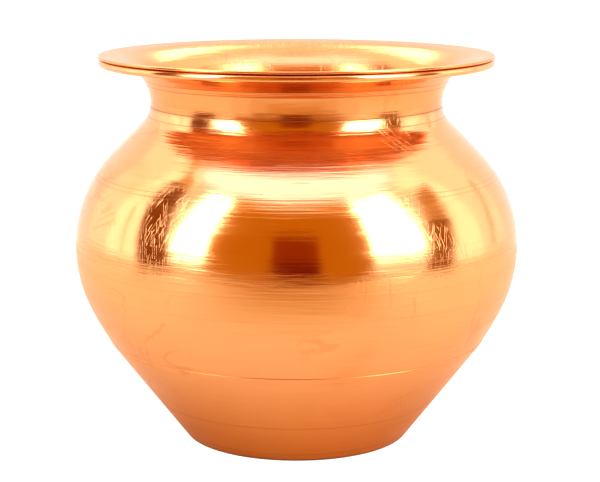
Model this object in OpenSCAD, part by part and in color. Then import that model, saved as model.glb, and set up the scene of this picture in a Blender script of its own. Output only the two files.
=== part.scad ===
// Kalash pot: a spun sheet-metal water pot made of four courses and a wire hoop,
// lapped one inside the other and brazed. All parts turn about +Z; the floor is z = 0.

/* [Overall] */
// Widest diameter, round the belly
belly_d = 125; // [110:1:170]
// Diameter at the throat, the narrowest place of the neck
throat_d = 81.9; // [62:0.1:98.4]
// Diameter over the wire hoop of the rim
rim_d = 110.9; // [102:0.1:140]
// Diameter of the foot where its cone would meet the floor
base_d = 63; // [40:0.5:78]

/* [Sheet] */
// Thickness of the sheet
wall = 0.8; // [0.5:0.05:1.2]
// Width of each lap, along the sheet
lap_w = 4; // [2.5:0.1:5]
// Length of a braze fillet along the sheet
fillet_w = 1.3; // [1:0.05:1.6]

/* [Belly] */
// Radius of the curve above the widest line
shoulder_arc = 37; // [25:0.5:45]
// Radius of the curve below the widest line
belly_arc = 38; // [25:0.5:48]
// Radius of the slower curve that runs down to the foot
haunch_arc = 80; // [50:1:100]
// Tilt of the wall, off vertical, where the slower curve starts
haunch_tilt = 25; // [15:0.5:28]
// Tilt of the wall at the belly seam, above the widest line
belly_seam_tilt = 6; // [4:0.5:12]

/* [Neck and mouth] */
// Tilt of the shoulder cone, off vertical
shoulder_tilt = 44.5; // [40:0.5:50]
// Radius of the hollow curve of the neck, below the throat
neck_arc = 8.2; // [6:0.1:12]
// Tilt of the wall at the neck seam, just below the throat
neck_seam_tilt = 6; // [3:0.5:9]
// Tilt of the lip, off vertical, where the flare ends
lip_tilt = 82; // [70:1:86]
// Width of the straight lip outside the flare
lip_w = 4; // [3:0.1:6]

/* [Rim hoop] */
// Diameter of the hoop's wire
hoop_wire_d = 2.1; // [1.5:0.1:3]

/* [Foot] */
// Tilt of the foot's cone, off vertical
foot_tilt = 37.4; // [34:0.2:42]
// Tilt of the wall at the foot's seam
foot_seam_tilt = 33; // [31:0.5:33.5]
// Radius of the rounded corner at the floor
corner_r = 1.5; // [1.3:0.1:3]
// Width of the flat ring that stands on the floor
stand_w = 5; // [3:0.5:8]
// Rise of the bottom inside the standing ring
dish_rise = 1.2; // [0.6:0.1:2]
// Width of the low band round the foot's seam
band_w = 2.2; // [1.5:0.1:3]
// Height of the low band over the wall
band_h = 0.15; // [0.1:0.05:0.3]

/* [Hidden] */
$fn = 180;
copper = [0.85, 0.47, 0.27];
satin_copper = [0.80, 0.45, 0.28];
filler = [0.80, 0.66, 0.38];
belly_r = belly_d / 2;
throat_r = throat_d / 2;
rim_r = rim_d / 2;
base_r = base_d / 2;
hoop_r = hoop_wire_d / 2;
// The angle that an arc's length spans, in degrees
function span(len, r) = len / r * 180 / PI;
// A point at radius r and angle a round a centre c
function on(c, r, a) = c + r * [cos(a), sin(a)];
// The shoulder's curve gives way where the belly leaves it too little room
shoulder_room = (belly_r - throat_r) / (1 - cos(shoulder_tilt)) - neck_arc;
shoulder_r = min(shoulder_arc, shoulder_room);
// Foot: a cone from the floor up to the slow curve, then the belly's own curve
haunch_top = [belly_r - belly_arc * (1 - cos(haunch_tilt)), 0];
haunch_foot_r = haunch_top[0] - haunch_arc * (cos(haunch_tilt) - cos(foot_tilt));
cone_h = (haunch_foot_r - base_r) / tan(foot_tilt);
haunch_c = [
    haunch_foot_r - haunch_arc * cos(foot_tilt),
    cone_h + haunch_arc * sin(foot_tilt)
];
belly_c = on(haunch_c, haunch_arc - belly_arc, -haunch_tilt);
belly_z = belly_c[1];
shoulder_c = [belly_r - shoulder_r, belly_z];
// Neck: the shoulder's cone runs from its curve to the hollow curve of the neck
cone_low = on(shoulder_c, shoulder_r, shoulder_tilt);
cone_top_r = throat_r + neck_arc * (1 - cos(shoulder_tilt));
cone_top = [cone_top_r, cone_low[1] + (cone_low[0] - cone_top_r) / tan(shoulder_tilt)];
throat_z = cone_top[1] + neck_arc * sin(shoulder_tilt);
neck_c = [throat_r + neck_arc, throat_z];
// Mouth: a flare that ends in a nearly level lip over the hoop
flare_r = (rim_r - lip_w - throat_r) / (1 - cos(lip_tilt));
flare_c = [throat_r + flare_r, throat_z];
lip_dir = [sin(lip_tilt), cos(lip_tilt)];
lip_up = [-cos(lip_tilt), sin(lip_tilt)];
lip_start = on(flare_c, flare_r, 180 - lip_tilt);
lip_edge_r = wall / 2;
lip_len = (rim_r - lip_edge_r - lip_start[0] - lip_edge_r * lip_up[0]) / lip_dir[0];
hoop_run = (rim_r - hoop_r - lip_start[0] + hoop_r * lip_up[0]) / lip_dir[0];
hoop_touch = lip_start + hoop_run * lip_dir;
hoop_c = hoop_touch - hoop_r * lip_up;
// Foot corner, tangent to the floor and to the cone
corner_c = [base_r - corner_r * tan((90 - foot_tilt) / 2), corner_r];
dish_r = corner_c[0] - stand_w;
dish_ball_r = (dish_r * dish_r + dish_rise * dish_rise) / (2 * dish_rise);
// Depth of a lapped, inner sheet's inside under the outer skin
lap_under = 2 * wall;
// Angles at which each lapped sheet steps in, and at which its free edge lies
root_w = 2 * wall;
belly_root = belly_seam_tilt - span(root_w, shoulder_r);
belly_lap_end = belly_seam_tilt + span(lap_w, shoulder_r);
foot_root = span(root_w, haunch_arc) - foot_seam_tilt;
foot_lap_end = -foot_seam_tilt - span(lap_w, haunch_arc);
neck_seam = 180 + neck_seam_tilt;
neck_root = neck_seam - span(root_w, neck_arc);
neck_lap_end = neck_seam + span(lap_w, neck_arc + wall);
// How far a cutting line runs to each side of the skin
reach = 20;
// How deep a curve is let into the line that runs on from it, so that the two cross
weld = 0.001;
// Cutting lines square to the skin, from inside the pot to outside it; the neck's stop
// short of the middle of its hollow, where they would cross
function foot_cut(a) = [on(haunch_c, haunch_arc - reach, a), on(haunch_c, haunch_arc + reach, a)];
function belly_cut(a) = [on(shoulder_c, shoulder_r - reach, a), on(shoulder_c, shoulder_r + reach, a)];
function neck_cut(a) = [on(neck_c, neck_arc + reach, a), on(neck_c, neck_arc / 2, a)];
lip_end = lip_start + lip_len * lip_dir;
// the lip's line stays short underneath, clear of the neck's
lip_cut = [lip_end + reach * lip_up, lip_end - wall * lip_up];

// A pie slice of a disc round a centre, from angle a0 to angle a1
module pie(c, r, a0, a1) {
    translate(c)
        intersection() {
            circle(r);
            polygon([[0, 0], on([0, 0], 2 * r, a0), on([0, 0], 2 * r, a1)]);
        }
}

// Half section of all that lies inside the pot's skin, t deep under it: a polygon on
// the points where its curves meet, with the bulging curves added and the hollow cut
module skin(t) {
    corner_in = max(corner_r - t, wall / 4);
    lip_low = on(flare_c, flare_r + t - weld, 180 - lip_tilt);
    lip_out = lip_low + (lip_len + reach) * lip_dir;
    difference() {
        union() {
            polygon([
                [0, t],
                [corner_c[0], t],
                on(corner_c, corner_in, -foot_tilt),
                on(haunch_c, haunch_arc - t, -foot_tilt),
                on(haunch_c, haunch_arc - t, -haunch_tilt),
                on(belly_c, belly_arc - t, 0),
                on(shoulder_c, shoulder_r - t, shoulder_tilt),
                on(neck_c, neck_arc + t, 180 + shoulder_tilt),
                [throat_r - t, throat_z],
                flare_c,
                lip_low,
                lip_out,
                [0, lip_out[1]]
            ]);
            pie(corner_c, corner_in, -90, -foot_tilt);
            pie(haunch_c, haunch_arc - t, -foot_tilt, -haunch_tilt);
            pie(belly_c, belly_arc - t, -haunch_tilt, 0);
            pie(shoulder_c, shoulder_r - t, 0, shoulder_tilt);
        }
        pie(neck_c, neck_arc + t, 180, 270);
        pie(flare_c, flare_r + t, 90, 180);
    }
}

// Sheet between two depths under the skin, from the cutting line low up to high
module sheet(t0, t1, low, high) {
    intersection() {
        difference() {
            skin(t0);
            skin(t1);
        }
        polygon([low[0], low[1], high[1], high[0]]);
    }
}

module mouth_collar() {
    color(copper)
        rotate_extrude() {
            sheet(0, wall, neck_cut(neck_seam), lip_cut);
            translate(lip_end + lip_edge_r * lip_up) circle(lip_edge_r + weld);
            // the neck seam's edge stands on the shoulder, and the sheet steps in below it
            sheet(0, lap_under, neck_cut(neck_seam), neck_cut(neck_root));
            sheet(wall, lap_under, neck_cut(neck_lap_end), neck_cut(neck_root));
        }
}

module rim_hoop() {
    color(copper)
        rotate_extrude()
            translate(hoop_c) circle(hoop_r);
}

module shoulder() {
    color(copper)
        rotate_extrude()
            sheet(0, wall, belly_cut(belly_seam_tilt), neck_cut(neck_seam));
}

module belly_bowl() {
    color(satin_copper)
        rotate_extrude() {
            sheet(0, wall, foot_cut(-foot_seam_tilt), belly_cut(belly_seam_tilt));
            // stepped edge that goes up inside the shoulder
            sheet(0, lap_under, belly_cut(belly_root), belly_cut(belly_seam_tilt));
            sheet(wall, lap_under, belly_cut(belly_root), belly_cut(belly_lap_end));
            // stepped edge that goes down inside the base cup
            sheet(0, lap_under, foot_cut(-foot_seam_tilt), foot_cut(foot_root));
            sheet(wall, lap_under, foot_cut(foot_lap_end), foot_cut(foot_root));
        }
}

module base_cup() {
    color(satin_copper)
        rotate_extrude() {
            sheet(0, wall, [[dish_r, -wall], [base_r + reach, -wall]], foot_cut(-foot_seam_tilt));
            // the low band round the seam
            sheet(-band_h, wall,
                foot_cut(-foot_seam_tilt - span(band_w, haunch_arc)), foot_cut(-foot_seam_tilt));
            // the bottom is dished up inside the standing ring, and runs on into it
            intersection() {
                translate([0, dish_rise - dish_ball_r])
                    difference() {
                        circle(dish_ball_r + wall);
                        circle(dish_ball_r);
                    }
                square([dish_r + wall, dish_rise + 2 * wall]);
            }
        }
}

module rim_braze() {
    color(filler)
        rotate_extrude()
            difference() {
                polygon([
                    hoop_touch,
                    hoop_touch - (hoop_r + fillet_w) * lip_dir,
                    hoop_c - hoop_r * lip_dir
                ]);
                translate(hoop_c) circle(hoop_r);
            }
}

// A braze fillet on the inside of an outer sheet, in the corner at the free edge of the
// lapped one: a is the edge's angle on a curve of radius r, bulge is 1 where the curve
// bulges outwards and -1 where it is hollow, and step is the angle that the fillet takes
module fillet(c, r, a, step, bulge) {
    intersection() {
        skin(wall, $fn = 720);
        polygon([
            on(c, r - bulge * lap_under, a),
            on(c, r, a),
            on(c, r, a + step),
            on(c, r - bulge * wall, a + step)
        ]);
    }
}

module neck_braze() {
    color(filler)
        rotate_extrude()
            fillet(neck_c, neck_arc, neck_lap_end, span(fillet_w, neck_arc + wall), -1);
}

module belly_braze() {
    color(filler)
        rotate_extrude()
            fillet(shoulder_c, shoulder_r, belly_lap_end, span(fillet_w, shoulder_r), 1);
}

module base_braze() {
    color(filler)
        rotate_extrude()
            fillet(haunch_c, haunch_arc, foot_lap_end, -span(fillet_w, haunch_arc), 1);
}

mouth_collar();
rim_hoop();
shoulder();
belly_bowl();
base_cup();
rim_braze();
neck_braze();
belly_braze();
base_braze();
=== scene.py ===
"""Kalash pot: a spun copper water pot of four courses, lapped and brazed, with a wire hoop under its lip.

Every length in the classes is in millimetres; the meshes are in metres. The pot turns about +Z and stands
on z = 0, and its front is towards -Y.
"""

from __future__ import annotations

import logging
import math
from dataclasses import dataclass, field
from enum import Enum
from typing import Any, Callable, Sequence

import bpy
import numpy as np
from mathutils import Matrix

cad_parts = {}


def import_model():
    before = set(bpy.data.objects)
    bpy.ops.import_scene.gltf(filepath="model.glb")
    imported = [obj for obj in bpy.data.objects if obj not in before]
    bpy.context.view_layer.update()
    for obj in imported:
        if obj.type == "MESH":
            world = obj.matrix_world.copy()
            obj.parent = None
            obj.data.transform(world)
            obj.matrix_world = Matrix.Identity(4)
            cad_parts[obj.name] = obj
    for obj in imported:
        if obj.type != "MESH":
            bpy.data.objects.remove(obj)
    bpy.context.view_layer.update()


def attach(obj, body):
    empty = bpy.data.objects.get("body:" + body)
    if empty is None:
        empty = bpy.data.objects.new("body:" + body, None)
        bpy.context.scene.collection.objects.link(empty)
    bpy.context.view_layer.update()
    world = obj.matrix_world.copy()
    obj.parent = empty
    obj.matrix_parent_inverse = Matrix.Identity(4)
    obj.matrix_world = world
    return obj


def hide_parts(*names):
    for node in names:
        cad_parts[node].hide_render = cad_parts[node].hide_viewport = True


MM = 0.001
FULL_TURN = 2 * math.pi
HALVINGS = 50
SLACK = 1e-9
LOG = logging.getLogger("kalash")

Point = tuple[float, float]
Colour = tuple[float, float, float]


# ---------------------------------------------------------------- node boards


class Wire:
    """An output socket that takes part in Python arithmetic."""

    def __init__(self, board: "Board", socket: bpy.types.NodeSocket) -> None:
        """Keeps the board and the socket.

        Args:
            board: The board that the socket's node stands on.
            socket: The output socket.
        """
        self.board = board
        self.socket = socket

    def _math(self, operation: str, first: Any, second: Any = None) -> "Wire":
        """Adds a Math node.

        Args:
            operation: The Math node's operation.
            first: The first value or wire.
            second: The second value or wire, if the operation has one.

        Returns:
            The wire from the new node.
        """
        values = {0: first} if second is None else {0: first, 1: second}
        return self.board.add("ShaderNodeMath", {"operation": operation}, values)

    def __add__(self, other: Any) -> "Wire":
        """self + other."""
        return self._math("ADD", self, other)

    def __radd__(self, other: Any) -> "Wire":
        """other + self."""
        return self._math("ADD", other, self)

    def __sub__(self, other: Any) -> "Wire":
        """self - other."""
        return self._math("SUBTRACT", self, other)

    def __rsub__(self, other: Any) -> "Wire":
        """other - self."""
        return self._math("SUBTRACT", other, self)

    def __mul__(self, other: Any) -> "Wire":
        """self * other."""
        return self._math("MULTIPLY", self, other)

    def __rmul__(self, other: Any) -> "Wire":
        """other * self."""
        return self._math("MULTIPLY", other, self)

    def __truediv__(self, other: Any) -> "Wire":
        """self / other."""
        return self._math("DIVIDE", self, other)

    def __rtruediv__(self, other: Any) -> "Wire":
        """other / self."""
        return self._math("DIVIDE", other, self)

    def cos(self) -> "Wire":
        """The cosine of self, in radians."""
        return self._math("COSINE", self)

    def sin(self) -> "Wire":
        """The sine of self, in radians."""
        return self._math("SINE", self)

    def nearest(self) -> "Wire":
        """The whole number nearest to self."""
        return self._math("ROUND", self)

    def ramp(self, low: float, high: float) -> "Wire":
        """A smooth rise from 0 at low to 1 at high.

        Args:
            low: The value that gives 0.
            high: The value that gives 1.

        Returns:
            The wire from the new node.
        """
        return self.board.add(
            "ShaderNodeMapRange",
            {"interpolation_type": "SMOOTHSTEP"},
            {"Value": self, "From Min": low, "From Max": high},
        )

    def also(self, output: str) -> "Wire":
        """Another output of the same node, by name."""
        return Wire(self.board, self.socket.node.outputs[output])


class Board:
    """A node tree with one way to add a node to it."""

    def __init__(self, tree: bpy.types.NodeTree) -> None:
        """Keeps the tree."""
        self.tree = tree

    def add(
        self,
        kind: str,
        settings: dict[str, Any] | None = None,
        sockets: dict[str | int, Any] | None = None,
        output: str | int = 0,
    ) -> Wire:
        """Adds a node, sets it, then fills its sockets.

        Args:
            kind: The node's type.
            settings: Its properties, set first.
            sockets: A value or a wire for each input, by name or number.
            output: The output that the wire starts from.

        Returns:
            The wire from that output.
        """
        node = self.tree.nodes.new(kind)
        for name, value in (settings or {}).items():
            setattr(node, name, value)
        for name, value in (sockets or {}).items():
            if isinstance(value, Wire):
                self.tree.links.new(value.socket, node.inputs[name])
            else:
                node.inputs[name].default_value = value
        return Wire(self, node.outputs[output]) if node.outputs else Wire(self, node.inputs[0])

    def blend(self, share: Wire, first: Wire | Colour, second: Wire | Colour) -> Wire:
        """Mixes two colours.

        Args:
            share: How much of the second colour shows, from 0 to 1.
            first: The first colour, or its wire.
            second: The second colour, or its wire.

        Returns:
            The wire of the mixed colour.
        """
        ends = [colour if isinstance(colour, Wire) else (*colour, 1.0) for colour in (first, second)]
        sockets = {0: share, 6: ends[0], 7: ends[1]}
        return self.add("ShaderNodeMix", {"data_type": "RGBA"}, sockets, output=2)


def blank_material(name: str) -> tuple[bpy.types.Material, Board]:
    """Makes a material with an empty board.

    Args:
        name: Its name.

    Returns:
        The material and its board.
    """
    material = bpy.data.materials.new(name)
    material.use_nodes = True
    material.node_tree.nodes.clear()
    return material, Board(material.node_tree)


# ---------------------------------------------------------------- the outline


@dataclass(frozen=True)
class Stretch:
    """One stretch of the pot's outline: a straight line, or an arc about a centre.

    Attributes:
        length: Length along the outline.
        start: Where it starts.
        heading: Direction of a straight line, as an angle in degrees.
        centre: Centre of an arc.
        radius: Radius of an arc, or 0 for a line.
        angle: Angle of an arc's start about its centre, in degrees.
        hand: 1 where the arc bulges outwards and runs upwards, -1 where it is hollow.
    """

    length: float
    start: Point = (0.0, 0.0)
    heading: float = 0.0
    centre: Point = (0.0, 0.0)
    radius: float = 0.0
    angle: float = 0.0
    hand: int = 1

    def at(self, run: float, depth: float) -> Point:
        """A point of the stretch.

        Args:
            run: Distance from the stretch's start.
            depth: Depth under the skin, towards the inside of the pot.

        Returns:
            The point's radius and height.
        """
        if self.radius:
            turn = math.radians(self.angle) + self.hand * run / self.radius
            reach = self.radius - self.hand * depth
            return (self.centre[0] + reach * math.cos(turn), self.centre[1] + reach * math.sin(turn))
        way = math.radians(self.heading)
        return (
            self.start[0] + run * math.cos(way) - depth * math.sin(way),
            self.start[1] + run * math.sin(way) + depth * math.cos(way),
        )


@dataclass(frozen=True)
class PotForm:
    """The pot's outline and sheet, as the CAD solids have them, in millimetres and degrees.

    row_gap and row_turn, the longest gap between two rows and the widest turn between them, in radians,
    say how closely the meshes follow it.
    """

    belly_r: float = 62.5
    throat_r: float = 40.95
    rim_r: float = 55.45
    base_r: float = 31.5
    wall: float = 0.8
    lap: float = 4.0
    shoulder_arc: float = 37.0
    belly_arc: float = 38.0
    haunch_arc: float = 80.0
    haunch_tilt: float = 25.0
    belly_seam_tilt: float = 6.0
    shoulder_tilt: float = 44.5
    neck_arc: float = 8.2
    neck_seam_tilt: float = 6.0
    lip_tilt: float = 82.0
    lip_w: float = 4.0
    hoop_r: float = 1.05
    foot_tilt: float = 37.4
    foot_seam_tilt: float = 33.0
    corner_r: float = 1.5
    stand_w: float = 5.0
    dish_rise: float = 1.2
    band_w: float = 2.2
    band_h: float = 0.15
    row_gap: float = 1.3
    row_turn: float = 0.05
    stretches: list[Stretch] = field(default_factory=list)
    seams: dict[str, float] = field(default_factory=dict)

    def __post_init__(self) -> None:
        """Works out the stretches of the outline, from the axis underneath to the edge of the lip."""
        arc, add = math.radians, self.stretches.append
        haunch_top = self.belly_r - self.belly_arc * (1 - math.cos(arc(self.haunch_tilt)))
        haunch_foot = haunch_top - self.haunch_arc * (
            math.cos(arc(self.haunch_tilt)) - math.cos(arc(self.foot_tilt))
        )
        cone_h = (haunch_foot - self.base_r) / math.tan(arc(self.foot_tilt))
        haunch_c = _round((haunch_foot, cone_h), -self.haunch_arc, -self.foot_tilt)
        belly_c = _round(haunch_c, self.haunch_arc - self.belly_arc, -self.haunch_tilt)
        shoulder_c = (self.belly_r - self.shoulder_arc, belly_c[1])
        corner_c = (self.base_r - self.corner_r * math.tan(arc(90 - self.foot_tilt) / 2), self.corner_r)
        dish_r = corner_c[0] - self.stand_w
        ball_r = (dish_r**2 + self.dish_rise**2) / (2 * self.dish_rise)
        ball_turn = math.asin(dish_r / ball_r)
        ball_c = (0, self.dish_rise - ball_r)
        add(Stretch(ball_r * ball_turn, centre=ball_c, radius=ball_r, angle=90, hand=-1))
        add(Stretch(self.stand_w, start=(dish_r, 0)))
        self._bulge(corner_c, self.corner_r, -90, -self.foot_tilt)
        cone_foot = _round(corner_c, self.corner_r, -self.foot_tilt)
        cone_end = _round(haunch_c, self.haunch_arc, -self.foot_tilt)
        add(Stretch(math.dist(cone_foot, cone_end), start=cone_foot, heading=90 - self.foot_tilt))
        self._mark("foot", arc(self.foot_tilt - self.foot_seam_tilt) * self.haunch_arc)
        self._bulge(haunch_c, self.haunch_arc, -self.foot_tilt, -self.haunch_tilt)
        self._bulge(belly_c, self.belly_arc, -self.haunch_tilt, 0)
        self._mark("belly", arc(self.belly_seam_tilt) * self.shoulder_arc)
        self._bulge(shoulder_c, self.shoulder_arc, 0, self.shoulder_tilt)
        cone_low = _round(shoulder_c, self.shoulder_arc, self.shoulder_tilt)
        cone_top_r = self.throat_r + self.neck_arc * (1 - math.cos(arc(self.shoulder_tilt)))
        cone_len = (cone_low[0] - cone_top_r) / math.sin(arc(self.shoulder_tilt))
        add(Stretch(cone_len, start=cone_low, heading=90 + self.shoulder_tilt))
        throat_z = cone_low[1] + cone_len * math.cos(arc(self.shoulder_tilt))
        throat_z += self.neck_arc * math.sin(arc(self.shoulder_tilt))
        neck_c = (self.throat_r + self.neck_arc, throat_z)
        self._mark("neck", arc(self.shoulder_tilt - self.neck_seam_tilt) * self.neck_arc)
        self._hollow(neck_c, self.neck_arc, 180 + self.shoulder_tilt, 180)
        flare_r = (self.rim_r - self.lip_w - self.throat_r) / (1 - math.cos(arc(self.lip_tilt)))
        flare_c = (self.throat_r + flare_r, throat_z)
        self._mark("throat", 0)
        self._hollow(flare_c, flare_r, 180, 180 - self.lip_tilt)
        lip_start = _round(flare_c, flare_r, 180 - self.lip_tilt)
        rise = math.cos(arc(self.lip_tilt))
        lip_span = self.rim_r - self.wall / 2 - lip_start[0] + self.wall / 2 * rise
        lip_len = lip_span / math.sin(arc(self.lip_tilt))
        add(Stretch(lip_len, start=lip_start, heading=90 - self.lip_tilt))
        self._mark("edge", 0)

    def _bulge(self, centre: Point, radius: float, low: float, high: float) -> None:
        """Adds an arc that bulges outwards, between two angles."""
        length = math.radians(high - low) * radius
        self.stretches.append(Stretch(length, centre=centre, radius=radius, angle=low))

    def _hollow(self, centre: Point, radius: float, low: float, high: float) -> None:
        """Adds an arc that is hollow, between two falling angles."""
        length = math.radians(low - high) * radius
        self.stretches.append(Stretch(length, centre=centre, radius=radius, angle=low, hand=-1))

    def _mark(self, name: str, more: float) -> None:
        """Notes a place on the outline, a distance beyond the last stretch so far."""
        self.seams[name] = sum(s.length for s in self.stretches) + more

    def at(self, run: float, depth: float = 0.0) -> Point:
        """The radius and height of a place on the outline.

        Args:
            run: Distance along the outline from the axis underneath.
            depth: Depth under the skin.

        Returns:
            The point's radius and height.
        """
        for stretch in self.stretches:
            if run <= stretch.length + SLACK or stretch is self.stretches[-1]:
                return stretch.at(run, depth)
            run -= stretch.length
        raise ValueError(run)

    def run_at(self, height: float) -> float:
        """Finds a height on the outline, by halving.

        Args:
            height: The height.

        Returns:
            The distance along the outline at which the skin passes it.
        """
        low, high = self.stretches[0].length + self.stand_w, self.seams["edge"]
        for _ in range(HALVINGS):
            middle = (low + high) / 2
            low, high = (middle, high) if self.at(middle)[1] < height else (low, middle)
        return low

    def step(self, run: float) -> float:
        """How far apart two rows may lie at a place.

        Args:
            run: Distance along the outline.

        Returns:
            The gap.
        """
        for stretch in self.stretches:
            if run <= stretch.length:
                return min(self.row_gap, self.row_turn * stretch.radius) if stretch.radius else self.row_gap
            run -= stretch.length
        return self.row_gap


def _round(centre: Point, radius: float, angle: float) -> Point:
    """The point at a radius and an angle in degrees about a centre."""
    turn = math.radians(angle)
    return (centre[0] + radius * math.cos(turn), centre[1] + radius * math.sin(turn))


@dataclass(frozen=True)
class Groove:
    """A turned line round the pot.

    Attributes:
        run: Where it lies on the outline.
        width: Its half width.
        depth: How deep it goes, or how proud it stands where the depth is negative.
        grime_and_shade: How much dirt it holds, from 0 to 1; where the groove has no depth, this is painted
            shade.
    """

    run: float
    width: float
    depth: float
    grime_and_shade: float = 0.5

    def share(self, run: float) -> float:
        """How much of the groove is felt at a place, from 0 to 1."""
        away = abs(run - self.run) / self.width
        return 0.5 + 0.5 * math.cos(math.pi * away) if away < 1 else 0.0


class Section:
    """The half section of one turned piece: its rows, and what each row's surface is like."""

    NEAR_EDGE = 0.04
    CLOSEST = 0.02
    GROOVE_ROWS = 11
    CORNER_ROWS = 5
    SEAM_DIRT = 0.5
    SEAM_REACH = 0.5

    def __init__(self, form: PotForm) -> None:
        """Starts an empty section.

        Args:
            form: The outline that the section follows.
        """
        self.form = form
        self.rows: list[Point] = []
        self.inside: list[float] = []
        self.grime_and_shade: list[float] = []

    def point(self, place: Point, inside: float = 0.0, grime_and_shade: float = 0.0) -> None:
        """Adds one row.

        Args:
            place: Its radius and height.
            inside: 1 on the inner face of the pot.
            grime_and_shade: How much dirt, or painted shade, lies there.
        """
        self.rows.append(place)
        self.inside.append(inside)
        self.grime_and_shade.append(grime_and_shade)

    def follow(
        self,
        start: float,
        end: float,
        depth: float | Callable[[float], float],
        grooves: Sequence[Groove] = (),
        inside: float = 0.0,
        seams: Sequence[float] = (),
    ) -> None:
        """Adds rows that follow the outline.

        Args:
            start: Where they start on it.
            end: Where they end, before or after the start.
            depth: Depth under the skin, or a function of the place that gives it.
            grooves: The turned lines that cross this face.
            inside: 1 on the inner face.
            seams: Places near which dirt gathers.
        """
        low, high = min(start, end), max(start, end)
        runs = {low, high, low + self.NEAR_EDGE, high - self.NEAR_EDGE}
        run = low
        while run < high:
            runs.add(run)
            run += self.form.step(run)
        for groove in grooves:
            for share in np.linspace(-1, 1, self.GROOVE_ROWS):
                runs.add(groove.run + float(share) * groove.width)
        ordered = sorted(r for r in runs if low <= r <= high)
        spaced = [ordered[0]]
        for run in ordered[1:]:
            if run - spaced[-1] > self.CLOSEST:
                spaced.append(run)
        spaced[-1] = high
        for run in spaced if end >= start else reversed(spaced):
            at = depth(run) if callable(depth) else depth
            dirt_and_shade = 0.0
            for groove in grooves:
                at += groove.depth * groove.share(run)
                dirt_and_shade = max(dirt_and_shade, groove.grime_and_shade * groove.share(run))
            for seam in seams:
                dirt_and_shade = max(dirt_and_shade, self.SEAM_DIRT * math.exp(-abs(run - seam) / self.SEAM_REACH))
            self.point(self.form.at(run, at), inside, dirt_and_shade)

    def edge(self, run: float, top: float, bottom: float, soft: float, up: bool, grime_and_shade: float = 0.9) -> None:
        """Adds a sheet's cut edge, with its outer corner rounded.

        Args:
            run: Where the edge lies.
            top: Depth of the outer face.
            bottom: Depth at which the edge ends.
            soft: Radius of the rounded corner.
            up: Whether the sheet lies below this edge, so that the edge looks up the outline.
            grime_and_shade: How much dirt lies in it.
        """
        side = -1 if up else 1
        turns = np.linspace(0, math.pi / 2, self.CORNER_ROWS)
        if not up:
            turns = turns[::-1]
            self.point(self.form.at(run, bottom), 0.5, grime_and_shade)
        for turn in turns:
            back = side * soft * (1 - math.sin(float(turn)))
            down = soft * (1 - math.cos(float(turn)))
            self.point(self.form.at(run + back, top + down), 0.0, grime_and_shade * math.sin(float(turn)))
        if up:
            self.point(self.form.at(run, bottom), 0.5, grime_and_shade)


# ---------------------------------------------------------------- turning on the lathe


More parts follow.
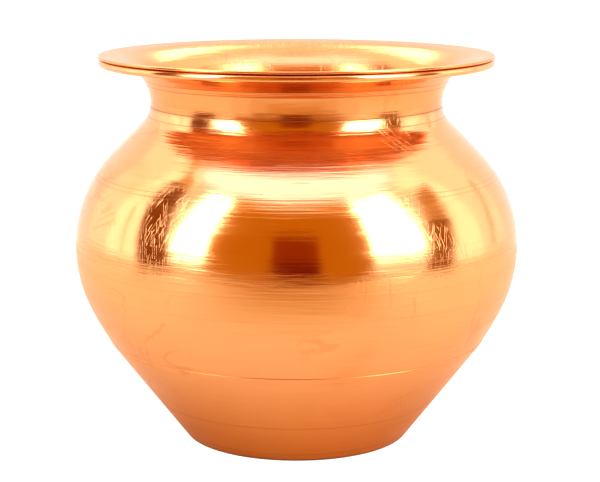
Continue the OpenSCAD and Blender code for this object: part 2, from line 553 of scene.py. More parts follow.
class Lathe:
    """Turns half sections into closed solids with a node tree."""

    STEPS = 360
    CALM_R = 0.004
    WELD = 2e-6

    def __init__(self) -> None:
        """Builds the tree, with a named input for each size."""
        tree = bpy.data.node_groups.new("turned_sheet", "GeometryNodeTree")
        face = tree.interface
        face.new_socket("Section", in_out="INPUT", socket_type="NodeSocketGeometry")
        self.names = {}
        for name, kind in (
            ("Rows", "NodeSocketInt"),
            ("Steps Round", "NodeSocketInt"),
            ("Unevenness", "NodeSocketFloat"),
            ("Lump Size", "NodeSocketFloat"),
            ("Seed", "NodeSocketFloat"),
            ("Finish", "NodeSocketMaterial"),
        ):
            socket = face.new_socket(name, in_out="INPUT", socket_type=kind)
            self.names[name] = socket.identifier
        face.new_socket("Solid", in_out="OUTPUT", socket_type="NodeSocketGeometry")
        board = Board(tree)
        given = board.add("NodeGroupInput")
        rows, around = given.also("Rows"), given.also("Steps Round")
        grid = {"Size X": 1.0, "Size Y": 1.0, "Vertices X": rows, "Vertices Y": around + 1}
        sheet = board.add("GeometryNodeMeshGrid", None, grid)
        place = board.add("GeometryNodeInputPosition")
        flat = board.add("ShaderNodeSeparateXYZ", None, {0: place})
        row = ((flat.also("X") + 0.5) * (rows - 1)).nearest()
        turn = (flat.also("Y") + 0.5) * FULL_TURN
        section = given.also("Section")

        def sampled(kind: str, value: Wire) -> Wire:
            """A value of the section, read at each row."""
            settings = {"data_type": kind, "domain": "POINT"}
            sockets = {"Geometry": section, "Value": value, "Index": row}
            return board.add("GeometryNodeSampleIndex", settings, sockets)

        found = board.add("ShaderNodeSeparateXYZ", None, {0: sampled("FLOAT_VECTOR", place)})
        radius, height = found.also("X"), found.also("Z")
        marks = {}
        for mark in ("inside", "grime_and_shade"):
            named = board.add("GeometryNodeInputNamedAttribute", {"data_type": "FLOAT"}, {"Name": mark})
            marks[mark] = sampled("FLOAT", named)
        ring = board.add(
            "ShaderNodeCombineXYZ", None, {"X": radius * turn.cos(), "Y": radius * turn.sin(), "Z": height}
        )
        lumps = board.add(
            "ShaderNodeTexNoise",
            {"noise_dimensions": "4D"},
            {"Vector": ring, "W": given.also("Seed"), "Scale": 1 / given.also("Lump Size"), "Detail": 1.0},
        )
        pulled = radius - lumps * given.also("Unevenness") * (radius / (radius + self.CALM_R))
        turned = board.add(
            "ShaderNodeCombineXYZ", None, {"X": pulled * turn.cos(), "Y": pulled * turn.sin(), "Z": height}
        )
        solid = sheet
        for mark, value in marks.items():
            solid = board.add(
                "GeometryNodeStoreNamedAttribute",
                {"data_type": "FLOAT", "domain": "POINT"},
                {"Geometry": solid, "Name": mark, "Value": value},
            )
        solid = board.add("GeometryNodeSetPosition", None, {"Geometry": solid, "Position": turned})
        solid = board.add("GeometryNodeMergeByDistance", None, {"Geometry": solid, "Distance": self.WELD})
        solid = board.add("GeometryNodeSetShadeSmooth", None, {"Geometry": solid, "Shade Smooth": True})
        solid = board.add("GeometryNodeRealizeInstances", None, {"Geometry": solid})
        finish = given.also("Finish")
        solid = board.add("GeometryNodeSetMaterial", None, {"Geometry": solid, "Material": finish})
        board.add("NodeGroupOutput", None, {0: solid})
        self.tree = tree

    def turn(
        self,
        name: str,
        section: Section,
        finish: bpy.types.Material,
        closed: bool = True,
        uneven: float = 0.0,
        lump: float = 30.0,
        seed: float = 1.0,
    ) -> bpy.types.Object:
        """Turns one half section.

        Args:
            name: The piece's name.
            section: Its half section.
            finish: Its material.
            closed: Whether the section closes on itself, rather than ending on the axis twice.
            uneven: How far the surface may be pulled in, in millimetres.
            lump: How long the unevenness is, in millimetres.
            seed: Which unevenness it is.

        Returns:
            The finished piece, as a plain mesh.
        """
        rows, inside, grime_and_shade = list(section.rows), list(section.inside), list(section.grime_and_shade)
        if closed:
            rows.append(rows[0])
            inside.append(inside[0])
            grime_and_shade.append(grime_and_shade[0])
        mesh = bpy.data.meshes.new(name + "_section")
        links = [(i, i + 1) for i in range(len(rows) - 1)]
        mesh.from_pydata([(r * MM, 0, z * MM) for r, z in rows], links, [])
        for mark, values in (("inside", inside), ("grime_and_shade", grime_and_shade)):
            mesh.attributes.new(mark, "FLOAT", "POINT").data.foreach_set("value", values)
        piece = bpy.data.objects.new(name, mesh)
        bpy.context.scene.collection.objects.link(piece)
        modifier = piece.modifiers.new("turned", "NODES")
        modifier.node_group = self.tree
        for label, value in (
            ("Rows", len(rows)),
            ("Steps Round", self.STEPS),
            ("Unevenness", uneven * MM),
            ("Lump Size", lump * MM),
            ("Seed", seed),
            ("Finish", finish),
        ):
            modifier[self.names[label]] = value
        return plain(piece)


def plain(piece: bpy.types.Object) -> bpy.types.Object:
    """Replaces a piece's mesh and modifiers by the plain mesh that they make, with its faces outwards.

    Args:
        piece: The piece.

    Returns:
        The same piece.
    """
    graph = bpy.context.evaluated_depsgraph_get()
    mesh = bpy.data.meshes.new_from_object(piece.evaluated_get(graph), depsgraph=graph)
    old = piece.data
    piece.modifiers.clear()
    piece.data = mesh
    mesh.name = piece.name
    bpy.data.meshes.remove(old)
    mesh.calc_loop_triangles()
    corners = np.zeros(len(mesh.loop_triangles) * 3, np.int32)
    mesh.loop_triangles.foreach_get("vertices", corners)
    places = np.zeros(len(mesh.vertices) * 3)
    mesh.vertices.foreach_get("co", places)
    a, b, c = (places.reshape(-1, 3)[corners.reshape(-1, 3)[:, k]] for k in range(3))
    if np.einsum("ij,ij->i", a, np.cross(b, c)).sum() < 0:
        mesh.flip_normals()
    return piece


# ---------------------------------------------------------------- finishes


class Polish(Enum):
    """How a course of the pot is finished outside: its roughness, and how strong its brush lines are."""

    BUFFED = (0.14, 0.5)
    SATIN = (0.32, 0.9)


@dataclass(frozen=True)
class CopperFinish:
    """Copper sheet, worked on the lathe.

    Attributes:
        name: The material's name.
        polish: How the outer face is finished.
        metal: The clean metal's colour.
        inner_metal: The duller metal's colour inside the pot.
        tarnish: The colour of a light stain.
        foot_shade: A darker, redder colour low down on the outside: painted shade towards the foot.
        grime_and_shade: The colour of dirt in grooves and seams, also used as painted shade at the foot's
            contact line and under the lip.
        bright_gloss: Roughness where the buffing wheel has reached.
        buffed_from: Heights between which the buffing comes in, in metres.
        inner_gloss: Roughness of the inner face.
    """

    name: str
    polish: Polish
    metal: Colour = (0.94, 0.452, 0.196)
    inner_metal: Colour = (0.70, 0.27, 0.10)
    tarnish: Colour = (0.80, 0.27, 0.065)
    foot_shade: Colour = (0.72, 0.24, 0.028)
    grime_and_shade: Colour = (0.16, 0.018, 0.006)
    bright_gloss: float = 0.14
    buffed_from: Point = (0.0545, 0.0585)
    inner_gloss: float = 0.24

    def build(self) -> bpy.types.Material:
        """Makes the material.

        Returns:
            The material.
        """
        material, board = blank_material(self.name)
        place = board.add("ShaderNodeTexCoord", output="Object")

        def noise(stretch: Colour, detail: float, turn: Colour = (0.0, 0.0, 0.0), warp: float = 0.0) -> Wire:
            """A noise stretched along the piece.

            Args:
                stretch: Waves per metre along each axis.
                detail: How much fine detail it has.
                turn: How the pattern is turned, in radians.
                warp: How much it is distorted.

            Returns:
                The noise, about 0.5.
            """
            laid = board.add("ShaderNodeMapping", None, {"Vector": place, "Rotation": turn, "Scale": stretch})
            sockets = {"Vector": laid, "Scale": 1.0, "Detail": detail, "Distortion": warp}
            return board.add("ShaderNodeTexNoise", None, sockets)

        def mark(name: str) -> Wire:
            """A number that the turned section gave to the surface."""
            return board.add("ShaderNodeAttribute", {"attribute_name": name}, output="Fac")

        gloss, brush = self.polish.value
        inside, dirt_and_shade = mark("inside"), mark("grime_and_shade")
        height_up = board.add("ShaderNodeSeparateXYZ", None, {0: place}, output="Z")
        fine = noise((45.0, 45.0, 5200.0), 2.0)
        coarse = noise((11.0, 11.0, 1300.0), 3.0)
        wipe = noise((30.0, 30.0, 260.0), 4.0, warp=0.6)
        cloud = noise((26.0, 26.0, 34.0), 5.0, warp=0.8)
        scratch_a = noise((120.0, 5200.0, 160.0), 0.0, (0.9, 0.35, 0.2)).ramp(0.68, 0.76)
        scratch_b = noise((5600.0, 150.0, 170.0), 0.0, (-0.55, 0.8, 0.5)).ramp(0.68, 0.76)
        patch = noise((38.0, 38.0, 38.0), 2.0).ramp(0.52, 0.66)
        scratches = (scratch_a + scratch_b) * patch
        specks = {"Vector": place, "Scale": 110.0, "Randomness": 1.0}
        cells = board.add("ShaderNodeTexVoronoi", None, specks, output="Distance")
        spots = (1.0 - cells.ramp(0.015, 0.05)) * noise((90.0, 90.0, 90.0), 0.0).ramp(0.6, 0.64)
        stain = cloud.ramp(0.5, 0.72) * (0.35 + 0.65 * wipe.ramp(0.42, 0.6))
        outside = 1.0 - inside
        tone = board.blend(stain * (0.25 + 0.3 * inside), self.metal, self.tarnish)
        tone = board.blend(coarse.ramp(0.6, 0.75) * 0.12, tone, self.tarnish)
        tone = board.blend(inside * 0.5, tone, self.inner_metal)
        # Painted shade: the outside darkens towards the foot, fading out over the lowest 32 mm.
        foot_shade_mask = (1.0 - height_up.ramp(0.002, 0.032)) * outside
        tone = board.blend(foot_shade_mask * 0.7, tone, self.foot_shade)
        veins = noise((30.0, 30.0, 30.0), 3.0, warp=1.5)
        crazed = 1.0 - ((veins - 0.5) * (veins - 0.5)).ramp(0.00001, 0.00035)
        tone = board.blend(crazed * patch * outside * 0.3, tone, self.tarnish)
        # The dark mark is dirt in grooves and seams, and also painted shade: the contact line at the foot's
        # corner and the band under the lip.
        tone = board.blend(spots * 0.6 + dirt_and_shade * 0.75, tone, self.grime_and_shade)
        lines = (fine * 0.35 + coarse * 0.65) * (0.55 + 0.9 * wipe.ramp(0.38, 0.62))
        buffed = height_up.ramp(*self.buffed_from)
        rough = gloss + (self.bright_gloss - gloss) * buffed + (lines - 0.5) * 0.12 * brush
        rough = rough + stain * 0.05 + scratches * 0.08
        rough = rough * outside + (self.inner_gloss + (coarse - 0.5) * 0.1 + stain * 0.08) * inside
        rough = rough + dirt_and_shade * 0.25 + spots * 0.2
        height = (lines * brush - scratches * 0.25 + wipe * 0.05) * (1.0 + inside)
        bump = board.add("ShaderNodeBump", None, {"Strength": 1.0, "Distance": 0.00009, "Height": height})
        surface = board.add(
            "ShaderNodeBsdfPrincipled",
            None,
            {
                "Base Color": tone,
                "Metallic": 1.0,
                "Roughness": rough,
                "Normal": bump,
                "Specular Tint": (1.0, 0.95, 0.90, 1.0),
            },
        )
        board.add("ShaderNodeOutputMaterial", None, {"Surface": surface})
        return material


@dataclass(frozen=True)
class BrazeFinish:
    """Yellow brazing metal, left as it ran.

    Attributes:
        name: The material's name.
        metal: The filler's colour.
        scale: The colour of the fired skin on it.
        gloss: Its roughness.
    """

    name: str = "brazed_seam"
    metal: Colour = (0.78, 0.50, 0.20)
    scale: Colour = (0.30, 0.15, 0.07)
    gloss: float = 0.34

    def build(self) -> bpy.types.Material:
        """Makes the material.

        Returns:
            The material.
        """
        material, board = blank_material(self.name)
        place = board.add("ShaderNodeTexCoord", output="Object")
        grain = board.add("ShaderNodeTexNoise", None, {"Vector": place, "Scale": 900.0, "Detail": 4.0})
        cloud = board.add("ShaderNodeTexNoise", None, {"Vector": place, "Scale": 130.0, "Detail": 3.0})
        share = cloud.ramp(0.45, 0.65) * (0.4 + 0.6 * grain)
        tone = board.blend(share, self.metal, self.scale)
        height = grain * 0.6 + cloud * 0.4
        bump = board.add("ShaderNodeBump", None, {"Strength": 0.6, "Distance": 0.00006, "Height": height})
        surface = board.add(
            "ShaderNodeBsdfPrincipled",
            None,
            {
                "Base Color": tone,
                "Metallic": 1.0,
                "Roughness": self.gloss + share * 0.3,
                "Normal": bump,
            },
        )
        board.add("ShaderNodeOutputMaterial", None, {"Surface": surface})
        return material


# ---------------------------------------------------------------- the pot's pieces


@dataclass
class Course:
    """What every sheet course of the pot shares.

    Attributes:
        form: The pot's outline.
        lathe: The lathe that turns it.
        gap: Clearance between two lapped sheets.
        joggle: Length over which a sheet steps in under the next one.
        soft: Radius of a worn cut edge.
        tight: Radius of a cut edge that is rubbed flush with its neighbour.
        uneven: How far the sheet may be pulled in.
        lump: How long its unevenness is.
        seed: Which unevenness it is, the same for all courses so that they meet.
    """

    form: PotForm
    lathe: Lathe
    gap: float = 0.03
    joggle: float = 1.6
    soft: float = 0.12
    tight: float = 0.012
    uneven: float = 0.04
    lump: float = 30.0
    seed: float = 5.0

    def turned(
        self, name: str, section: Section, finish: bpy.types.Material, closed: bool = True
    ) -> bpy.types.Object:
        """Turns a sheet course, with the unevenness that all the courses share.

        Args:
            name: The piece's name.
            section: Its half section.
            finish: Its material.
            closed: Whether the section closes on itself, rather than ending on the axis twice.

        Returns:
            The piece.
        """
        return self.lathe.turn(name, section, finish, closed, self.uneven, self.lump, self.seed)

    def stepped(self, seam: float, side: int) -> Callable[[float], float]:
        """The inner face's depth, where the sheet steps in to lie under its neighbour.

        Args:
            seam: Where the neighbour's edge lies.
            side: 1 where the lap lies further along the outline, -1 where it lies before the seam.

        Returns:
            The depth of the inner face as a function of the place.
        """
        wall = self.form.wall

        def depth(run: float) -> float:
            """The inner face's depth at a place."""
            share = min(1.0, max(0.0, (side * (run - seam) + self.joggle) / self.joggle))
            return wall + (wall + self.gap) * share * share * (3 - 2 * share)

        return depth

    def line(self, height: float, width: float, depth: float, grime_and_shade: float = 0.5) -> Groove:
        """A turned line at a height."""
        return Groove(self.form.run_at(height), width, depth, grime_and_shade)


@dataclass
class MouthCollar(Course):
    """The neck and flared lip, spun from one ring of sheet, stepped in at its foot to sit in the shoulder."""

    def build(self, finish: bpy.types.Material) -> bpy.types.Object:
        """Makes the collar.

        Args:
            finish: Its material.

        Returns:
            The piece.
        """
        form, wall, seam, edge = self.form, self.form.wall, self.form.seams["neck"], self.form.seams["edge"]
        lines = [
            self.line(102.1, 0.3, 0.03, 0.45),
            self.line(101.45, 0.25, -0.01, 0.0),
            self.line(100.75, 0.3, 0.03, 0.45),
            self.line(103.6, 0.4, 0.01, 0.2),
            self.line(96.4, 0.3, 0.01, 0.1),
            # Painted shade: a band with no depth darkens the underside of the lip and the top of the flare,
            # where the lip overhangs.
            Groove(edge - 4.2, 2.6, 0.0, 0.7),
        ]
        section = Section(form)
        section.follow(seam - form.lap, seam, wall + self.gap)
        section.edge(seam, 0.0, wall, self.soft, up=False)
        section.follow(seam + self.soft, edge, 0.0, lines, seams=[seam, edge - 1.0])
        middle = form.at(edge, wall / 2)
        for turn in np.linspace(-82, 98, 11)[1:-1]:
            section.point(_round(middle, wall / 2, float(turn)), 0.0, 0.05)
        section.follow(edge, seam - form.lap, self.stepped(seam, -1), inside=1.0)
        return self.turned("collar_and_lip", section, finish)


@dataclass
class Shoulder(Course):
    """The course between the belly seam and the neck seam."""

    def build(self, finish: bpy.types.Material) -> bpy.types.Object:
        """Makes the shoulder.

        Args:
            finish: Its material.

        Returns:
            The piece.
        """
        form, wall, low, high = self.form, self.form.wall, self.form.seams["belly"], self.form.seams["neck"]
        lines = [
            self.line(92.0, 0.3, 0.02, 0.4),
            self.line(91.2, 0.5, -0.008, 0.0),
            self.line(87.5, 0.35, -0.012, 0.0),
            self.line(86.6, 0.4, 0.006, 0.1),
            self.line(76.2, 0.28, 0.009, 0.25),
            self.line(75.1, 0.28, 0.009, 0.25),
            self.line(79.4, 0.5, 0.003, 0.05),
        ]
        section = Section(form)
        section.edge(low, 0.0, wall, self.tight, up=False, grime_and_shade=0.2)
        section.follow(low + self.tight, high - self.soft, 0.0, lines, seams=[high])
        section.edge(high, 0.0, wall, self.soft, up=True)
        section.follow(high, low, wall, inside=1.0)
        return self.turned("shoulder_course", section, finish)


@dataclass
class BellyBowl(Course):
    """The course round the widest line, stepped in at both edges to lie inside its neighbours.

    Attributes:
        foot_edge: Radius of its step at the foot's seam.
    """

    foot_edge: float = 0.05

    def build(self, finish: bpy.types.Material) -> bpy.types.Object:
        """Makes the bowl.

        Args:
            finish: Its material.

        Returns:
            The piece.
        """
        form, wall, low, high = self.form, self.form.wall, self.form.seams["foot"], self.form.seams["belly"]
        lines = [
            self.line(57.6, 0.3, 0.006, 0.15),
            self.line(52.4, 0.35, 0.005, 0.1),
            self.line(45.9, 0.3, 0.004, 0.1),
        ]
        section = Section(form)
        section.follow(low - form.lap, low, wall + self.gap)
        section.edge(low, 0.0, wall, self.foot_edge, up=False, grime_and_shade=0.1)
        section.follow(low + self.foot_edge, high - self.tight, 0.0, lines)
        section.edge(high, 0.0, wall, self.tight, up=True, grime_and_shade=0.2)
        section.follow(high, high + form.lap, wall + self.gap)
        lower, upper = self.stepped(low, -1), self.stepped(high, 1)
        section.follow(high + form.lap, low - form.lap, lambda run: max(lower(run), upper(run)), inside=1.0)
        return self.turned("belly_course", section, finish)


@dataclass
class BaseCup(Course):
    """The foot: a conical cup with a dished bottom and a low band round its edge.

    Attributes:
        band_round: Length over which the band rises.
        band_dip: How much of the band's height its middle is hollowed by.
    """

    band_round: float = 0.22
    band_dip: float = 0.35

    def build(self, finish: bpy.types.Material) -> bpy.types.Object:
        """Makes the cup.

        Args:
            finish: Its material.

        Returns:
            The piece.
        """
        form, wall, seam = self.form, self.form.wall, self.form.seams["foot"]
        band = seam - form.band_w
        corner = form.stretches[0].length + form.stand_w + 0.5
        lines = [
            self.line(11.8, 0.3, 0.015, 0.3),
            self.line(2.4, 0.4, 0.01, 0.2),
            # Painted shade: this band has no depth; its dark mark paints the contact shadow where the pot
            # stands on the table.
            Groove(corner, 1.4, 0.0, 1.0),
        ]

        def proud(run: float) -> float:
            """How far the band stands proud.

            Args:
                run: A place on the outline.

            Returns:
                The depth of the band's face, below 0 where it stands proud.
            """
            share = min(1.0, max(0.0, (run - band) / self.band_round))
            middle = min(1.0, max(0.0, (run - band) / form.band_w))
            dip = self.band_dip * math.sin(math.pi * middle)
            return -form.band_h * share * share * (3 - 2 * share) * (1 - dip)

        rings = [Groove(r, 0.5, 0.05, 0.4) for r in (6.0, 13.0, 20.5)]
        section = Section(form)
        dish = form.stretches[0].length
        section.follow(0.0, dish, 0.0, rings)
        section.follow(dish + 0.1, band - 0.1, 0.0, lines)
        # no groove at all, but it asks for close rows where the band rises
        ridge = [Groove(band + self.band_round / 2, 0.12, 0.0, 0.0)]
        section.follow(band, seam - self.soft, proud, ridge)
        section.edge(seam, -form.band_h, wall, self.soft, up=True, grime_and_shade=0.1)
        section.follow(seam, dish + wall, wall, inside=1.0)
        section.follow(dish, 0.0, wall, inside=1.0)
        return self.turned("base_course", section, finish, closed=False)


@dataclass
class RimHoop(Course):
    """The wire hoop that stiffens the lip from below.

    Attributes:
        clear: Clearance to the lip.
        dirt_turn: Angle round the wire at which dirt gathers, where it meets the lip.
        dirt_reach: How far round the wire the dirt reaches, in degrees.
    """

    clear: float = 0.01
    dirt_turn: float = 78.0
    dirt_reach: float = 22.0

    def centre(self) -> Point:
        """Works out where the wire lies.

        Returns:
            The radius and height of its middle.
        """
        form, run = self.form, self.form.seams["edge"]
        angle = form.lip_tilt
        start = form.at(run - form.stretches[-1].length)
        up = _round((0.0, 0.0), 1.0, 180 - angle)
        along = _round((0.0, 0.0), 1.0, 90 - angle)
        reach = (form.rim_r - form.hoop_r - start[0] + form.hoop_r * up[0]) / along[0]
        touch = (start[0] + reach * along[0], start[1] + reach * along[1])
        return (touch[0] - form.hoop_r * up[0], touch[1] - form.hoop_r * up[1])

    def build(self, finish: bpy.types.Material) -> bpy.types.Object:
        """Makes the hoop.

        Args:
            finish: Its material.

        Returns:
            The piece.
        """
        middle = self.centre()
        section = Section(self.form)
        for turn in range(0, 360, 10):
            near = math.exp(-(((turn - self.dirt_turn) / self.dirt_reach) ** 2))
            section.point(_round(middle, self.form.hoop_r - self.clear, turn), 0.0, 0.8 * near)
        return self.lathe.turn("wire_hoop", section, finish, uneven=0.05, lump=16.0, seed=11.0)


@dataclass
class Brazing(Course):
    """The four runs of brazing metal, each a lumpy fillet in the corner of a joint.

    Attributes:
        width: Length of a fillet along the sheet.
        hollow: How far a fillet's face sags.
        clear: Clearance to the sheet.
    """

    width: float = 1.3
    hollow: float = 0.16
    clear: float = 0.01

    def fillet(self, name: str, run: float, side: int, finish: bpy.types.Material) -> bpy.types.Object:
        """Makes the fillet at the free edge of a lap.

        Args:
            name: The piece's name.
            run: Where the lapped sheet's edge lies.
            side: 1 where the fillet lies further along the outline than the edge, else -1.
            finish: Its material.

        Returns:
            The piece.
        """
        form, wall = self.form, self.form.wall
        section = Section(form)
        foot, top = run + side * self.width, 2 * wall + self.gap
        base = wall + self.clear
        shares = [float(share) for share in np.linspace(0, 1, 7)]
        for share in shares:
            section.point(form.at(foot + (run - foot) * share, base), 1.0)
        section.point(form.at(run + side * self.clear, top), 1.0)
        for share in shares[1:-1]:
            sag = self.hollow * math.sin(math.pi * share)
            section.point(form.at(run + (foot - run) * share, top + (base - top) * share - sag), 1.0)
        return self.lathe.turn(name, section, finish, uneven=0.12, lump=1.7, seed=run)

    def rim(self, hoop: RimHoop, finish: bpy.types.Material) -> bpy.types.Object:
        """Makes the fillet under the lip, inside the hoop.

        Args:
            hoop: The hoop that it holds.
            finish: Its material.

        Returns:
            The piece.
        """
        form, middle = self.form, hoop.centre()
        section = Section(form)
        dirt_and_shade, rim_sag = 0.3, 0.18
        under = form.seams["edge"] - (form.rim_r - form.wall / 2 - middle[0])
        for share in np.linspace(0, 1, 6):
            back = (form.hoop_r + self.width) * float(share)
            section.point(form.at(under - back, self.clear), 0.0, dirt_and_shade)
        low = _round(middle, form.hoop_r, 172)
        tip = section.rows[-1]
        for share in (0.25, 0.5, 0.75, 1.0):
            sag = rim_sag * math.sin(math.pi * share)
            reach, rise = tip[0] + (low[0] - tip[0]) * share, tip[1] + (low[1] - tip[1]) * share
            section.point((reach, rise + sag), 0.0, dirt_and_shade)
        for turn in (155, 140, 125, 110):
            section.point(_round(middle, form.hoop_r + self.clear, turn), 0.0, dirt_and_shade)
        return self.lathe.turn("rim_braze_run", section, finish, uneven=0.1, lump=1.9, seed=21.0)


# ---------------------------------------------------------------- the studio


@dataclass(frozen=True)
class Panel:
    """A plain panel of the light tent, seen from the pot between two bearings and two heights.

    Attributes:
        name: Its name.
        bearings: Its sides, in degrees from the front, positive towards +X.
        heights: Its foot and top, in degrees above the table.
        glow: Its colour and brightness.
        away: How far it stands from the pot, in metres.
        lean: How much its sides turn back from the front towards the top, in degrees.
        centre: Height of the middle that its place is measured from, in metres.
        grid: How closely its mesh follows the tent, in degrees.
        lean_growth: How much faster the lean grows towards the top.
    """

    name: str
    bearings: tuple[float, float]
    heights: tuple[float, float]
    glow: Colour
    away: float = 1.6
    lean: float = 0.0
    centre: float = 0.07
    grid: float = 3.0
    lean_growth: float = 1.5

    def corner(self, turn: float, height: float) -> tuple[float, float, float]:
        """One corner of the panel's grid.

        Args:
            turn: Its bearing, in radians.
            height: How high it is, in degrees.

        Returns:
            Its place.
        """
        rise = math.radians(height)
        flat = self.away * math.cos(rise)
        return (flat * math.sin(turn), -flat * math.cos(turn), self.centre + self.away * math.sin(rise))

    def build(self) -> bpy.types.Object:
        """Makes the panel.

        Returns:
            The panel, which the camera itself doesn't see.
        """
        across = max(2, int(abs(self.bearings[1] - self.bearings[0]) / self.grid) + 1)
        upright = max(2, int((self.heights[1] - self.heights[0]) / self.grid) + 1)
        corners, faces = [], []
        for j, height in enumerate(np.linspace(*self.heights, upright)):
            back = self.lean * (j / (upright - 1)) ** self.lean_growth
            for bearing in np.linspace(*self.bearings, across):
                corners.append(self.corner(math.radians(float(bearing) + back), float(height)))
        for j in range(upright - 1):
            for i in range(across - 1):
                first = j * across + i
                faces.append((first, first + 1, first + across + 1, first + across))
        mesh = bpy.data.meshes.new(self.name)
        mesh.from_pydata(corners, [], faces)
        material, board = blank_material(self.name)
        light = board.add("ShaderNodeEmission", None, {"Color": (*self.glow, 1.0), "Strength": 1.0})
        board.add("ShaderNodeOutputMaterial", None, {"Surface": light})
        mesh.materials.append(material)
        panel = bpy.data.objects.new(self.name, mesh)
        bpy.context.scene.collection.objects.link(panel)
        panel.visible_camera = False
        panel.visible_shadow = False
        return panel


@dataclass(frozen=True)
class Card(Panel):
    """A card just over the table, in metres: heights are its distances from the axis, away its height."""

    def corner(self, turn: float, height: float) -> tuple[float, float, float]:
        """One corner of the card's grid, on the table."""
        return (height * math.sin(turn), -height * math.cos(turn), self.away)


def grey(level: float) -> Colour:
    """A neutral colour of a brightness."""
    return (level, level, level)


@dataclass(frozen=True)
class Studio:
    """A white table in a light tent, with two soft boxes and the camera's dark opening between them.

    Attributes:
        camera_away: Distance from the camera to its target, in metres.
        camera_height: How far the camera looks down, in degrees.
        target: Height of its target over the table, in metres.
        lens: Its lens, in millimetres.
        shift: How far the view is shifted sideways.
        table_r: The table's radius, in metres.
        table_sides: Sides of the table's rim.
        table_drop: How far the table lies below the pot's foot, in metres.
        table_tone: The table's colour as the pot sees it.
        table_white: How much of pure white the camera sees in the table.
        surround: Brightness of the light all round.
        panels: The panels of the tent.
    """

    camera_away: float = 0.4996
    camera_height: float = 10.8
    target: float = 0.0554
    lens: float = 105.0
    shift: float = 0.0059
    table_r: float = 0.60
    table_sides: int = 64
    table_drop: float = 0.00005
    table_tone: Colour = (0.62, 0.595, 0.535)
    table_white: float = 0.94
    surround: float = 1.03
    panels: tuple[Panel, ...] = (
        Panel("left_softbox", (-66, -46), (9, 53), grey(7.0), 1.50),
        Panel("left_softbox_foot", (-65, -47), (4, 9), grey(2.6), 1.50),
        Panel("right_softbox", (39, 68), (10, 53), grey(7.0), 1.50),
        Panel("right_softbox_foot", (40, 67), (4, 10), grey(2.6), 1.50),
        Panel("left_gap", (-83, -63), (-14, 47), (0.24, 0.075, 0.0), 1.55, lean=-20),
        Panel("left_gap_top", (-101, -86), (47, 54), (0.75, 0.5, 0.25), 1.55, lean=-6),
        Panel("right_gap", (66, 83), (-14, 24), (0.31, 0.12, 0.0), 1.55, lean=9),
        Panel("right_gap_top", (75, 92), (24, 44), (0.62, 0.36, 0.13), 1.55, lean=12),
        Panel("opening", (-47, 38), (-6, 50), (0.54, 0.24, 0.0), 1.58),
        Panel("opening_top", (-47, 38), (50, 58), (0.95, 0.60, 0.28), 1.59),
        Panel("camera_stand", (-12, 11), (-8, 29), (0.30, 0.06, 0.0), 1.56),
        Panel("camera_shade", (-12, 12), (-8, 9), (0.17, 0.0, 0.0), 1.55),
        Card("front_shade_rim", (-50, 46), (0.09, 0.60), (0.95, 0.88, 0.80), 0.0002),
        Card("front_shade_wide", (-35, 31), (0.12, 0.60), (0.86, 0.72, 0.55), 0.0004),
        Card("front_shade", (-21, 19), (0.16, 0.60), (0.74, 0.52, 0.28), 0.0006),
        Card("front_shade_far", (-32, 29), (0.32, 0.60), (0.46, 0.22, 0.03), 0.0008),
        Panel("left_side", (-112, -88), (-4, 56), grey(1.75), 1.62),
        Panel("left_side_end", (-134, -112), (-4, 56), grey(1.32), 1.62),
        Panel("right_side", (84, 108), (-4, 56), grey(1.7), 1.62),
        Panel("right_side_end", (108, 134), (-4, 56), grey(1.3), 1.62),
        Panel("left_fold", (-99, -97), (0, 24), (0.95, 0.75, 0.5), 1.60, lean=-4),
        Panel("right_fold", (117, 120), (-3, 24), (0.75, 0.5, 0.3), 1.60, lean=10),
        Panel("ceiling", (-100, 100), (57, 80), (1.9, 1.95, 2.7), 1.64),
        Panel("ceiling_back", (100, 260), (57, 80), grey(1.2), 1.64),
        Panel("back_left_softbox", (-172, -138), (34, 54), grey(4.0), 1.52),
        Panel("back_right_softbox", (146, 172), (34, 54), grey(4.0), 1.52),
    )

    def build(self) -> None:
        """Makes the table, the tent, the light and the camera."""
        for panel in self.panels:
            panel.build()
        self._table()
        self._surround()
        self._camera()
        bpy.context.scene.view_settings.view_transform = "Standard"
        bpy.context.scene.view_settings.look = "Medium High Contrast"

    def _table(self) -> bpy.types.Object:
        """Makes the white table top.

        Returns:
            The table, which the camera sees as nearly white and the pot sees as matt.
        """
        mesh = bpy.data.meshes.new("table")
        turns = np.linspace(0, FULL_TURN, self.table_sides + 1)[:-1]
        ring = [(self.table_r * math.cos(a), self.table_r * math.sin(a), -self.table_drop) for a in turns]
        mesh.from_pydata(ring, [], [tuple(range(self.table_sides))])
        material, board = blank_material("white_table")
        matt = board.add("ShaderNodeBsdfDiffuse", None, {"Color": (*self.table_tone, 1.0)})
        white = board.add("ShaderNodeEmission", None, {"Color": (1.0, 1.0, 1.0, 1.0), "Strength": 1.0})
        seen = board.add("ShaderNodeLightPath", output="Is Camera Ray")
        surface = board.add("ShaderNodeMixShader", None, {0: seen * self.table_white, 1: matt, 2: white})
        board.add("ShaderNodeOutputMaterial", None, {"Surface": surface})
        mesh.materials.append(material)
        table = bpy.data.objects.new("table", mesh)
        bpy.context.scene.collection.objects.link(table)
        return table

    def _surround(self) -> None:
        """Makes the plain white light all round."""
        world = bpy.data.worlds.new("white_tent")
        world.use_nodes = True
        sky = world.node_tree.nodes["Background"].inputs
        sky["Color"].default_value = (1.0, 1.0, 1.0, 1.0)
        sky["Strength"].default_value = self.surround
        bpy.context.scene.world = world

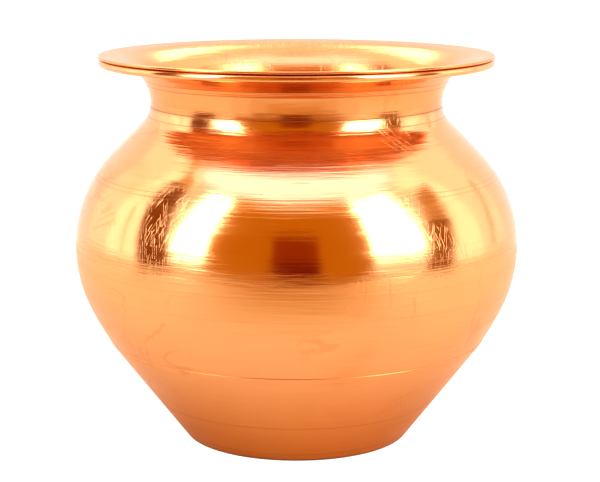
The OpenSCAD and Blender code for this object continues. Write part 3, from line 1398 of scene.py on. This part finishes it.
    def _camera(self) -> None:
        """Makes the camera, level with the horizon and looking slightly down on the belly."""
        lens = bpy.data.cameras.new("camera")
        lens.lens = self.lens
        lens.sensor_width = 36.0
        lens.shift_x = self.shift
        lens.clip_start = 0.01
        camera = bpy.data.objects.new("camera", lens)
        bpy.context.scene.collection.objects.link(camera)
        rise = math.radians(self.camera_height)
        back, up = self.camera_away * math.cos(rise), self.camera_away * math.sin(rise)
        camera.location = (0, -back, self.target + up)
        camera.rotation_euler = (math.pi / 2 - rise, 0, 0)
        bpy.context.scene.camera = camera


# ---------------------------------------------------------------- making the pot


def place(piece: bpy.types.Object, node: str, slot: str) -> None:
    """Puts a finished piece in the frame, in place of its CAD solid.

    Args:
        piece: The piece.
        node: The CAD node that it stands for.
        slot: The record's material slot; not used.
    """
    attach(piece, "root")
    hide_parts(node)
    LOG.info("%s stands for %s: %d faces", piece.name, node, len(piece.data.polygons))


def main() -> None:
    """Builds the pot's pieces in order, then the studio."""
    logging.basicConfig(level=logging.INFO, format="%(message)s")
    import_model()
    form, lathe = PotForm(), Lathe()
    bright = CopperFinish("buffed_copper", Polish.BUFFED).build()
    satin = CopperFinish("brushed_copper", Polish.SATIN, metal=(0.93, 0.43, 0.172)).build()
    braze = BrazeFinish().build()
    warm = {"metal": (0.90, 0.375, 0.135), "inner_metal": (0.86, 0.37, 0.16)}
    neck = CopperFinish("collar_copper", Polish.BUFFED, **warm).build()
    place(MouthCollar(form, lathe).build(neck), "mouth_collar", "polished_copper")
    hoop = RimHoop(form, lathe)
    place(hoop.build(bright), "rim_hoop", "polished_copper")
    place(Shoulder(form, lathe).build(bright), "shoulder", "polished_copper")
    place(BellyBowl(form, lathe).build(satin), "belly_bowl", "satin_copper")
    place(BaseCup(form, lathe).build(satin), "base_cup", "satin_copper")
    runs, seams, lap = Brazing(form, lathe), form.seams, form.lap
    place(runs.rim(hoop, braze), "rim_braze", "braze")
    place(runs.fillet("neck_braze_run", seams["neck"] - lap, -1, braze), "neck_braze", "braze")
    place(runs.fillet("belly_braze_run", seams["belly"] + lap, 1, braze), "belly_braze", "braze")
    place(runs.fillet("base_braze_run", seams["foot"] - lap, -1, braze), "base_braze", "braze")
    Studio().build()


if __name__ == "__main__":
    main()
